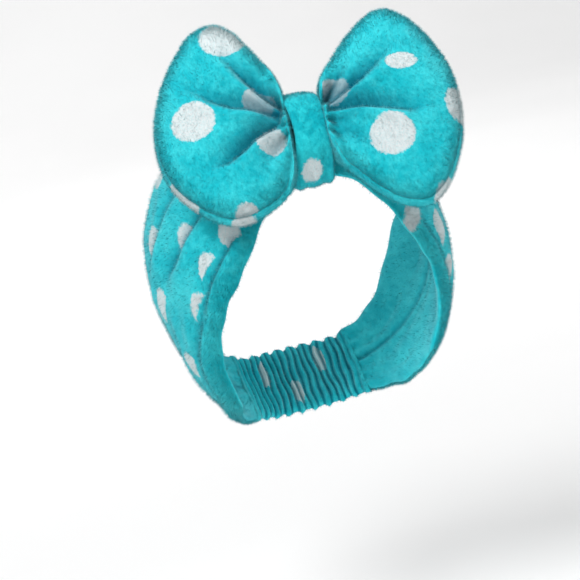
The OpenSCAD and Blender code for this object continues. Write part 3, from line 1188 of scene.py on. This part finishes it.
@dataclass(frozen=True)
class BowFrame:
    """The bow's own axes and the centres of its waist and lobes."""

    loop: HeadLoop = field(default_factory=HeadLoop)
    lean: float = 30.0
    turn: float = 6.0
    seat: float = 0.2
    waist_drop: float = 8.0
    waist_thick: float = 13.0
    waist_height: float = 34.0
    waist_clear: float = 3.4
    strip_width: float = 20.0
    hinge_inset: float = 0.4

    def axes(self) -> tuple[np.ndarray, np.ndarray, np.ndarray]:
        """Works out the bow's own axes.

        Returns:
            Unit vectors to the bow's right, up and out of its face.
        """
        lean, turn = math.radians(self.lean), math.radians(self.turn)
        rise = np.array([0.0, math.sin(lean), math.cos(lean)])
        out = np.array([0.0, -math.cos(lean), math.sin(lean)])
        right = math.cos(turn) * np.array([1.0, 0, 0]) - math.sin(turn) * rise
        up = math.cos(turn) * rise + math.sin(turn) * np.array([1.0, 0, 0])
        return right, up, out

    def waist(self) -> np.ndarray:
        """Finds the centre of the pinched waist.

        Returns:
            The centre, in metres.
        """
        zero = np.array(0.0)
        k = self.loop.shift(zero) + self.seat * self.loop.front_width / 2
        seat = self.loop.point(zero, k, self.loop.thickness(zero))
        return seat + (self.waist_thick / 2 + self.waist_clear) * MM * self.axes()[2]

    def centre(self) -> np.ndarray:
        """Centre of the lobes' height, in metres."""
        return self.waist() + self.waist_drop * MM * self.axes()[1]

    def hinge_x(self) -> float:
        """Distance of each lobe's hinge line from the centre, in millimetres."""
        return self.strip_width / 2 - self.hinge_inset


@dataclass
class Lobe:
    """One padded lobe of the bow: front and back panels, wadding and edge seam."""

    side: Side
    sweep: float
    outline: tuple[tuple[float, float], ...]
    creases: tuple[Crease, ...]
    dots: tuple[Dot, ...]
    back_dots: tuple[tuple[float, float], ...]
    frame: BowFrame = field(default_factory=BowFrame)
    heart: tuple[float, float] = (31.0, -2.0)
    front: float = 20.0
    back: float = 10.0
    seam_at: float = 0.955
    wadding_at: float = 0.84
    swell_power: float = 2.5
    pucker_height: float = 0.9
    rim_puckers: tuple[int, int] = (23, 41)
    knot_pleats: int = 13
    pleat_height: float = 1.2
    full_depth: float = 8.0
    back_dot: float = 10.5
    bend: tuple[float, float] = (-1.0, 13.0)
    spokes: int = 300
    seed: int = 1

    def _place(self, x: np.ndarray, y: np.ndarray, z: np.ndarray) -> np.ndarray:
        """Turns lobe millimetres into frame metres.

        Args:
            x: Distance out from the hinge line.
            y: Height.
            z: Distance out of the bow's face.

        Returns:
            The points in the frame.
        """
        right, up, out = self.frame.axes()
        a = math.radians(self.sweep)
        s = -1.0 if self.side is Side.LEFT else 1.0
        bx = s * (self.frame.hinge_x() + x * math.cos(a) + z * math.sin(a))
        bz = z * math.cos(a) - x * math.sin(a)
        return self.frame.centre() + MM * (bx[..., None] * right + y[..., None] * up
                                           + bz[..., None] * out)

    def _surface(self, rho: np.ndarray, height: float, inset: float,
                 creased: float) -> tuple[np.ndarray, np.ndarray, np.ndarray, np.ndarray]:
        """Shapes one face of the lobe.

        Args:
            rho: Share of the way from the heart to the outline, for each ring.
            height: Height of the face above the mid plane.
            inset: How far the face is drawn in from the skin.
            creased: Share of the creases' depth that this face takes.

        Returns:
            The x, y and z of each point and its valley shade.
        """
        rim = closed_spline(list(self.outline), self.spokes)
        heart = np.array(self.heart)
        ray = rim - heart
        ray = ray * (1 - inset / np.linalg.norm(ray, axis=1, keepdims=True))
        flat = heart + rho[:, None, None] * ray[None]
        x, y = flat[..., 0], flat[..., 1]
        swell = np.sqrt(np.clip(1 - rho ** self.swell_power, 0, 1))[:, None]
        swell = swell + (0.8 - 0.8 * swell) * (1 - smooth(x / 9))
        pinch = 0.6 + 0.4 * smooth((x + 1) / 20)
        around = np.arange(self.spokes) / self.spokes * 2 * math.pi
        few, many = self.rim_puckers
        pucker = (np.sin(around * few + 1.3 * np.sin(around * 5)) * 0.6
                  + np.sin(around * many + 2.0) * 0.3)[None, :]
        pucker = pucker * (rho[:, None] ** 6) * self.pucker_height
        z = (height - math.copysign(inset, height)) * swell * pinch
        z = z + math.copysign(1.0, height) * pucker * swell ** 0.5
        shade = np.zeros_like(z)
        if creased > 0:
            fan = np.arctan2(y + self.frame.waist_drop, x + 8)
            near = np.exp(-((x / 13.0) ** 2)) * smooth(x / 3 + 0.4)
            pleat = np.sin(fan * self.knot_pleats + 0.6)
            z = z + creased * self.pleat_height * near * pleat
            # Painted shade in the troughs of the pleats near the knot.
            shade = shade + 0.2 * near * smooth(-pleat * 1.4 - 0.1)
            for crease in self.creases:
                rise, dark = crease.press(x, y)
                z = z + creased * rise * swell ** 0.6
                # Painted shade of the creases.
                shade = shade + dark * crease.depth / self.full_depth
            z = z + creased * (0.8 * ripple(x, y, 30, self.seed) + 0.25 * ripple(x, y, 11, 7))
        return x, y, z, np.clip(shade, 0, 0.92)

    def _groove(self, rho: np.ndarray, x: np.ndarray, y: np.ndarray) -> np.ndarray:
        """Depth of the seam's groove at each place, deepest along the lower edge."""
        deep = (0.3 + 1.1 * smooth((-y - 5) / 30)) * smooth((x - 3) / 12)
        return deep * np.exp(-(((rho - self.seam_at) / 0.016) ** 2))[:, None]

    def _skin(self, x: np.ndarray, y: np.ndarray, z: np.ndarray, shade: np.ndarray,
              fur: np.ndarray, shift: float = 0.0) -> Skin:
        """Makes a skin that faces outwards on either side of the bow.

        Args:
            x: Distance out from the hinge line, in millimetres.
            y: Height, in millimetres.
            z: Distance out of the bow's face, in millimetres.
            shade: Valley shade.
            fur: Share of the pile at each point.
            shift: Offset of the cloth coordinates, in metres.

        Returns:
            The skin.
        """
        turn = slice(None, None, -1) if self.side is Side.LEFT else slice(None)
        cloth = np.stack([x * MM + shift, y * MM], -1)
        return Skin(self._place(x, y, z)[:, turn], cloth[:, turn], shade[:, turn], False, True,
                    fur=fur[:, turn])

    def front_skin(self) -> Skin:
        """Builds the front panel, from the heart to the seam's groove.

        Returns:
            The open skin.
        """
        rho = np.concatenate([np.linspace(0.004, 0.8, 46), np.linspace(0.81, self.seam_at, 16)])
        x, y, z, shade = self._surface(rho, self.front, 0.0, 1.0)
        z = z - self._groove(rho, x, y)
        # Painted shade along the lower edge, in the seam's groove.
        edge = smooth((rho - 0.93) / 0.025)[:, None] * smooth((-y - 5) / 30) * smooth((x - 3) / 12)
        fur = 0.45 + 1.6 * smooth((rho - 0.78) / 0.16)[:, None] + 0 * x
        return self._skin(x, y, z, np.clip(shade + 0.35 * edge, 0, 0.92), fur)

    def back_skin(self) -> Skin:
        """Builds the back panel, from the seam's groove round the rim to the back's heart.

        Returns:
            The open skin.
        """
        lip = np.linspace(self.seam_at, 1.0, 14)
        x, y, z, _ = self._surface(lip, self.front, 0.0, 1.0)
        z = z - self._groove(lip, x, y)
        rear = np.concatenate([np.linspace(0.998, 0.8, 18), np.linspace(0.78, 0.004, 30)])
        bx, by, bz, _ = self._surface(rear, -self.back, 0.0, 0.0)
        bz = bz - 0.6 * ripple(bx, by, 24, self.seed + 9) * np.sqrt(1 - rear ** 2)[:, None]
        x, y, z = (np.concatenate(pair) for pair in ((x, bx), (y, by), (z, bz)))
        shade = np.zeros_like(z)
        # Painted shade on the lip's first rows along the lower edge, in the seam's groove.
        shade[:3] = 0.3 * smooth((-y[:3] - 5) / 30) * smooth((x[:3] - 3) / 12)
        fur = np.ones_like(z)
        fur[:32] = 2.2
        return self._skin(x, y, z, shade, fur, BACK_OFFSET_MM * MM)

    def fill_skins(self) -> list[Skin]:
        """Builds the wadding's front and back faces, inside the panels.

        Returns:
            The two skins.
        """
        rho = np.linspace(0.004, self.wadding_at, 30)
        x, y, top, _ = self._surface(rho, self.front, 0.0, 1.0)
        low = self._surface(rho, -self.back, 0.0, 0.0)[2] + 2.0
        far = smooth((self.wadding_at - rho) / 0.2)[:, None] * smooth((x - 4) / 10)
        top = np.maximum(low + 0.2, low + (top - 3.4 - low) * far)
        return [self._skin(x, y, z, 0 * z, 0 * z) for z in (top, low)]

    def seam_skin(self) -> Skin:
        """Builds the thread in the seam's groove.

        Returns:
            The thread's skin.
        """
        rho = np.array([self.seam_at])
        x, y, z, _ = self._surface(rho, self.front, 0.0, 1.0)
        z = z - self._groove(rho, x, y) - 0.5
        return round_thread(self._place(x, y, z)[0], THREAD_RADIUS, True)

    def build(self, parts: ShaderParts) -> list[bpy.types.Object]:
        """Makes the lobe's pieces.

        Args:
            parts: The shared node groups.

        Returns:
            The four pieces.
        """
        name = self.side.value
        plush = PlushFinish(f"plush_{name}_front", self.dots).build(parts)
        behind = PlushFinish(f"plush_{name}_back", tuple(
            Dot(BACK_OFFSET_MM + across, along, self.back_dot) for across, along in self.back_dots))
        thread = ThreadFinish(f"{name}_seam_thread", THREAD_BLUE, THREAD_SHADE)
        pile = Pile(per_cm2=330, length=1.8, most=52000)
        pieces = [
            build_piece(f"{name}_lobe_front", [self.front_skin()], plush, pile, self.seed * 7),
            build_piece(f"{name}_lobe_back", [self.back_skin()], behind.build(parts), pile,
                        self.seed * 7 + 3),
            build_piece(f"{name}_lobe_wadding", self.fill_skins(),
                        WaddingFinish(f"wadding_{name}").build(parts)),
            build_piece(f"{name}_lobe_seam", [self.seam_skin()], thread.build(parts))]
        nodes = ("front_panel", "back_panel", "fill", "seam")
        slots = ("plush_turquoise", "plush_turquoise", "wadding", "thread")
        zero = np.array(0.0)
        root, out = (self._place(np.array(x), zero, zero) for x in self.bend)
        for piece, node, slot in zip(pieces, nodes, slots):
            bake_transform(piece)
            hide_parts(f"{name}_{node}")
        return pieces


def left_lobe() -> Lobe:
    """Makes the lobe on the viewer's left.

    Returns:
        The lobe.
    """
    outline = ((0, 10), (3, 23), (12, 40), (19, 51), (28, 57), (37, 55.5), (45, 50), (56, 36),
               (63, 23), (68, 8), (69.5, -6), (68, -20), (63, -32), (55, -42), (46, -50),
               (36, -54.5), (26, -54), (15, -49.5), (6, -43), (1.2, -34), (-0.2, -21), (-0.5, -6))
    creases = (
        Crease(((34, 44), (26, 32), (19, 20), (11, 10), (2, 2)), 8.5, 1.7, 7.0, 2.4),
        Crease(((60, 38), (47, 19), (36, 9), (25, 3), (14, 0), (3, -2)), 8.0, 1.8, 7.5, 2.8),
        Crease(((52, -25), (42, -27), (33, -25), (24, -20), (15, -14), (4, -7)), 9.0, 1.7, 8.0,
               3.0),
        Crease(((26, -42), (17, -34), (9, -25), (2, -17)), 2.6, 2.6, 5.0, 1.2))
    dots = (Dot(25, 44, 11.5, 0.95), Dot(47, -1, 11.6, 0.9), Dot(12, 5, 8.5, 0.8),
            Dot(9.5, -18, 7.6, 1.0), Dot(29, -53, 6.4, 0.9), Dot(62, -39, 5.0))
    behind = ((62, -37), (32, -62), (40, -6), (20, 22), (46, 20), (16, -20))
    return Lobe(Side.LEFT, 12.0, outline, creases, dots, behind, seed=2)


def right_lobe() -> Lobe:
    """Makes the lobe on the viewer's right.

    Returns:
        The lobe.
    """
    outline = ((0, 9), (3, 17), (10, 26.5), (21, 39), (31, 47), (40, 50.5), (49, 47.5), (59, 38),
               (66, 25.5), (71, 11.5), (72.5, -5.5), (70, -24), (64, -40), (56, -53), (47, -60),
               (39, -60.5), (30, -57), (20.5, -49.5), (11, -39), (3.5, -29), (0, -19), (-0.5, -5))
    creases = (
        Crease(((48, 33), (39, 23), (30, 15), (22, 9), (14, 5), (3, 1)), 8.5, 1.8, 7.0, 2.4),
        Crease(((20, 28), (14, 18), (8, 10), (3, 4)), 4.5, 1.6, 4.0, 1.4),
        Crease(((66, -8), (54, -12), (43, -13), (34, -11), (25, -9), (15, -6), (4, -3)), 9.0, 1.8,
               8.5, 3.2),
        Crease(((28, -38), (19, -28), (10, -18), (3, -11)), 2.6, 2.6, 5.0, 1.2))
    dots = (Dot(7, 6, 8.0, 0.9), Dot(43, 13, 8.5, 0.55), Dot(70, -12, 8.0, 1.2),
            Dot(31, -26, 11.8, 0.9), Dot(55, -58, 6.5))
    behind = ((73, -12), (58, -60), (36, -18), (16, 10), (42, 22), (18, -22))
    return Lobe(Side.RIGHT, -4.0, outline, creases, dots, behind, seed=4)


@dataclass
class Knot:
    """The strip round the waist and the band, with what it hides: waist, binding and stitches."""

    frame: BowFrame = field(default_factory=BowFrame)
    thick: float = 2.6
    clear: float = 0.8
    samples: int = 220
    strip_half: float = 9.2
    waist_half: float = 4.4
    pleats: int = 13

    def _section_radius(self, heading: np.ndarray, middle: np.ndarray, grow: float) -> np.ndarray:
        """Works out how far the wrapped section reaches.

        Args:
            heading: Angles round the section, in radians.
            middle: The section's middle, in millimetres.
            grow: How far the strip stands off what it wraps.

        Returns:
            The reach from the middle for each heading, in millimetres.
        """
        loop = self.frame.loop
        _, up, out = self.frame.axes()
        waist = self.frame.waist() / MM
        turn = np.radians(np.arange(0, 360, 10))
        wrap = (waist + np.sin(turn)[:, None] * (self.frame.waist_height / 2 - 3) * up
                + np.cos(turn)[:, None] * (self.frame.waist_thick / 2) * out)
        v = np.linspace(-0.76, 1, 25)
        thick = float(loop.thickness(np.array(0.0)))
        k = float(loop.shift(np.array(0.0))) + v * loop.front_width / 2
        half = thick / 2 * np.sqrt(np.clip(1 - np.abs(v) ** 8, 0, 1))
        tube = np.concatenate([loop.point(0 * v, k, thick / 2 + half),
                               loop.point(0 * v, k, thick / 2 - half)]) / MM
        core = np.concatenate([wrap, tube])[:, 1:] - middle
        normal = np.radians(np.arange(0, 360, 2))
        ways = np.stack([np.cos(normal), np.sin(normal)], 1)
        reach = (core @ ways.T).max(0) + grow
        cosine = np.cos(heading[:, None] - normal[None, :])
        radius = np.where(cosine > 0.05, reach[None, :] / np.maximum(cosine, 0.05), 1e9).min(1)
        under = -0.8 - grow
        steps = np.linspace(0, 1, 200)
        for i, angle in enumerate(heading):
            path = middle + steps[:, None] * radius[i] * np.array([math.cos(angle),
                                                                   math.sin(angle)])
            level = np.hypot(path[:, 0] / (loop.half_length + under),
                             path[:, 1] / (loop.crown + under))
            inside = np.nonzero(level < 1)[0]
            if len(inside):
                radius[i] *= steps[inside[0]]
        return radius

    def strip_skin(self) -> Skin:
        """Builds the strip: a soft folded band of cloth, closed round the waist and the tube.

        Returns:
            The closed skin.
        """
        loop = self.frame.loop
        thick = float(loop.thickness(np.array(0.0)))
        seat = loop.point(np.array(0.0), loop.shift(np.array(0.0)), np.array(thick)) / MM
        middle = seat[1:]
        heading = np.linspace(0, 2 * math.pi, self.samples, endpoint=False)
        radius = self._section_radius(heading, middle, self.clear + self.thick)
        kernel = np.hanning(9)
        kernel /= kernel.sum()
        padded = np.concatenate([radius[-8:], radius, radius[:8]])
        radius = np.convolve(padded, kernel, mode="same")[8:-8]
        path = middle + radius[:, None] * np.stack([np.cos(heading), np.sin(heading)], 1)
        step = unit(np.roll(path, -1, 0) - np.roll(path, 1, 0))
        outward = np.stack([step[:, 1], -step[:, 0]], 1)
        run = np.concatenate([[0], np.cumsum(np.linalg.norm(np.diff(path, axis=0), axis=1))])
        turn = np.linspace(0, 2 * math.pi, 56, endpoint=False)
        sx = np.sign(np.cos(turn)) * np.abs(np.cos(turn)) ** 0.55
        sz = np.sign(np.sin(turn)) * np.abs(np.sin(turn)) ** 0.8
        level = (path - self.frame.waist()[1:] / MM) @ self.frame.axes()[1][1:]
        flare = smooth((-level - 2) / 26)[:, None]
        x = (self.strip_half + 1.6 * flare) * sx[None, :] - 1.4 * flare
        pleat = 0.5 * np.sin(sx * 8 + 0.7)[None, :] * smooth((-level - 6) / 14)[:, None]
        crown = 0.5 * (1 - sx ** 2)[None, :] + pleat
        depth = -self.thick / 2 + sz[None, :] * self.thick / 2 + np.where(sz > 0, crown, 0)
        yz = path[:, None, :] + depth[..., None] * outward[:, None, :]
        points = np.concatenate([x[..., None], yz], -1) * MM
        cloth = np.stack([x * MM, run[:, None] * MM + 0 * depth], -1)
        # Painted shade on the strip's sides and a painted shadow on its lower end, under the bow.
        shade = (0.12 * smooth((np.abs(sx) - 0.86) / 0.14)[None, :]
                 + 0.75 * smooth((-level - 20) / 22)[:, None])
        return Skin(points, cloth, shade + 0 * depth, True, True)

    def waist_skin(self) -> Skin:
        """Builds the gathered waist of the bow: a pleated sleeve between the lobes.

        Returns:
            The open sleeve.
        """
        right, up, out = self.frame.axes()
        turn = np.linspace(0, 2 * math.pi, 96, endpoint=False)[None, :]
        x = np.linspace(-self.waist_half, self.waist_half, 14)[:, None]
        grow = 1 - 0.06 * np.cos(turn * self.pleats) - 0.04 * (1 - (x / self.waist_half) ** 2)
        y = np.sin(turn) * (self.frame.waist_height / 2 - 4.0) * grow
        z = np.cos(turn) * (self.frame.waist_thick / 2 - 0.8) * grow
        points = self.frame.waist() + MM * ((x + 0 * y)[..., None] * right + y[..., None] * up
                                            + z[..., None] * out)
        # Painted shade over the whole waist, deeper in the troughs of its pleats.
        shade = 0.4 + 0.3 * np.cos(turn * self.pleats) + 0 * x
        cloth = np.stack([x * MM + 0 * y + 2.0, y * MM], -1)
        return Skin(points[:, ::-1], cloth, np.clip(shade, 0, 0.8), False, True)

    def build(self, parts: ShaderParts) -> list[bpy.types.Object]:
        """Makes the strip, the waist and its binding.

        Args:
            parts: The shared node groups.

        Returns:
            The three pieces.
        """
        # The strip takes a darker copy of the plush: painted shade where it sits between the lobes.
        plush = PlushFinish("plush_knot", (Dot(-3.0, 88.5, 5.6, 1.3),),
                            pale=(48, 208, 216), deep=(10, 168, 182))
        strip = build_piece("knot_strip_plush", [self.strip_skin()], plush.build(parts),
                            Pile(per_cm2=240, length=1.4, most=16000), 51)
        waist = build_piece("bow_waist_gathers", [self.waist_skin()],
                            PlushFinish("plush_waist").build(parts))
        for piece, node in ((strip, "knot_strip"), (waist, "bow_waist")):
            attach(piece, "band")
            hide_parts(node)
        binding = build_piece("bow_waist_binding", self.binding_skins(),
                              ThreadFinish("binding_thread", ELASTIC_WHITE,
                                           (200, 202, 198)).build(parts))
        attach(binding, "band")
        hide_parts("waist_thread")
        return [strip, waist, binding]

    def binding_skins(self) -> list[Skin]:
        """Builds the turns of thread that bind the waist.

        Returns:
            One skin for each turn.
        """
        right, up, out = self.frame.axes()
        turn = np.linspace(0, 2 * math.pi, 72, endpoint=False)[:, None]
        y = np.sin(turn) * (self.frame.waist_height / 2 - 3.6)
        z = np.cos(turn) * (self.frame.waist_thick / 2 - 0.3)
        return [round_thread(self.frame.waist() + MM * (x * right + y * up + z * out),
                             THREAD_RADIUS, True) for x in (-2.0, -0.9, 0.2, 1.3, 2.4)]


@dataclass(frozen=True)
class ThreadNodes:
    """The sewing threads that keep their own solids."""

    names: tuple[str, ...] = ("band_seam", "end_stitches", "knot_stitches", "bow_tacks")

    def dress(self, parts: ShaderParts) -> None:
        """Gives each thread node its finish.

        Args:
            parts: The shared node groups.
        """
        blue = ThreadFinish("sewing_thread", THREAD_BLUE, THREAD_SHADE).build(parts)
        for name in self.names:
            node = frame["nodes"][name]
            node = bpy.data.objects[node] if isinstance(node, str) else node
            if not node.material_slots:
                node.data.materials.append(blue)
            for slot in node.material_slots:
                slot.material = blue
            LOG.info("dressed %s", name)


# ---------------------------------------------------------------- studio


@dataclass(frozen=True)
class Studio:
    """Camera, lights and the pale floor."""

    yaw: float = 12.5
    pitch: float = 12.2
    roll: float = 11.0
    distance: float = 1.3
    lens: float = 144.0
    aim_right: float = -0.0039
    aim_up: float = -0.0146
    floor_gap: float = 0.16
    air: float = 0.42
    sweep_start: float = 2.2
    sweep_radius: float = 1.6

    def build(self, low: float) -> None:
        """Makes the studio round the object.

        Args:
            low: Height of the object's lowest point, in metres.
        """
        self._camera()
        self._floor(low - self.floor_gap)
        self._light("key", (-0.9, -1.3, 1.5), 0.7, 31.0)
        self._light("fill", (1.4, -1.0, 0.6), 1.4, 6.0)
        self._light("top", (0.1, 0.3, 1.8), 1.0, 10.0)
        self._light("backdrop", (0.0, 1.3, 1.4), 1.6, 20.0, (0.0, 3.2, 0.3))
        world = bpy.data.worlds.new("studio_air")
        world.use_nodes = True
        world.node_tree.nodes["Background"].inputs[0].default_value = (1.0, 1.0, 1.0, 1.0)
        world.node_tree.nodes["Background"].inputs[1].default_value = self.air
        bpy.context.scene.world = world
        bpy.context.scene.view_settings.view_transform = "Standard"

    def _camera(self) -> None:
        """Places the camera in front of the head, a little to its left and above it."""
        yaw, pitch, roll = (math.radians(v) for v in (self.yaw, self.pitch, self.roll))
        back = Vector((-math.sin(yaw) * math.cos(pitch), -math.cos(yaw) * math.cos(pitch),
                       math.sin(pitch)))
        flat = Vector((math.cos(yaw), -math.sin(yaw), 0.0))
        rise = back.cross(flat)
        right = flat * math.cos(roll) - rise * math.sin(roll)
        up = flat * math.sin(roll) + rise * math.cos(roll)
        data = bpy.data.cameras.new("studio_camera")
        data.lens = self.lens
        data.sensor_width = 36.0
        camera = bpy.data.objects.new("studio_camera", data)
        place = back * self.distance + right * self.aim_right + up * self.aim_up
        turn = Matrix((right, up, back)).transposed().to_4x4()
        camera.matrix_world = Matrix.Translation(place) @ turn
        bpy.context.scene.collection.objects.link(camera)
        bpy.context.scene.camera = camera

    def _floor(self, height: float) -> None:
        """Makes a pale floor that sweeps up behind the object.

        Args:
            height: The floor's height, in metres.
        """
        start, radius = self.sweep_start, self.sweep_radius
        profile = [(-4.0, 0.0), (start, 0.0)]
        profile += [(start + radius * math.sin(a), radius - radius * math.cos(a))
                    for a in np.linspace(0.05, math.pi / 2, 24)]
        profile.append((start + radius, 6.0))
        points = [(x, y, height + z) for x in (-6.0, 6.0) for y, z in profile]
        n = len(profile)
        faces = [(i, i + 1, n + i + 1, n + i) for i in range(n - 1)]
        mesh = bpy.data.meshes.new("studio_floor")
        mesh.from_pydata(points, [], faces)
        for polygon in mesh.polygons:
            polygon.use_smooth = True
        material, tree, shader = new_material("pale_floor")
        place = tree.nodes.new("ShaderNodeTexCoord").outputs["Object"]
        tone = span_node(tree, noise_node(tree, place, 3, 2), 0.3, 0.7)
        colour = mix_colour(tree, tone, linear(250, 250, 250), linear(253, 253, 253))
        tree.links.new(colour, shader.inputs["Base Color"])
        shader.inputs["Roughness"].default_value = 0.9
        mesh.materials.append(material)
        floor = bpy.data.objects.new("studio_floor", mesh)
        bpy.context.scene.collection.objects.link(floor)
        floor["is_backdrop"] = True

    def _light(self, name: str, place: tuple[float, float, float], size: float, power: float,
               target: tuple[float, float, float] = (0.0, 0.0, 0.0)) -> None:
        """Adds a soft square light that faces a target.

        Args:
            name: The light's name.
            place: Its place, in metres.
            size: Its side, in metres.
            power: Its power, in watts.
            target: The point that it faces.
        """
        data = bpy.data.lights.new(name, "AREA")
        data.size = size
        data.energy = power
        light = bpy.data.objects.new(name, data)
        light.location = place
        aim = Vector(target) - Vector(place)
        light.rotation_euler = aim.to_track_quat("-Z", "Y").to_euler()
        bpy.context.scene.collection.objects.link(light)


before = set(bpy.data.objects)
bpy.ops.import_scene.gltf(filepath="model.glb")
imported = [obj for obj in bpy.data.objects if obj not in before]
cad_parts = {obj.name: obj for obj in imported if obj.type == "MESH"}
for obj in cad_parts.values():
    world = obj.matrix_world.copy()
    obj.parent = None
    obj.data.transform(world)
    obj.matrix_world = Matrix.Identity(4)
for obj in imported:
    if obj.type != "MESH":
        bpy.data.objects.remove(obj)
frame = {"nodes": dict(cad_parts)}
CAD_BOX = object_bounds()


def main() -> None:
    """Builds the headband and the studio, and reports each piece."""
    logging.basicConfig(level=logging.INFO, format="%(name)s: %(message)s")
    parts = ShaderParts()
    makers = [Band(), NapeElastic(), Knot(), left_lobe(), right_lobe()]
    for maker in makers:
        for piece in maker.build(parts):
            LOG.info("built %s with %d faces", piece.name, len(piece.data.polygons))
    ThreadNodes().dress(parts)
    Studio().build(float(CAD_BOX[0][2]))


if __name__ == "__main__":
    main()
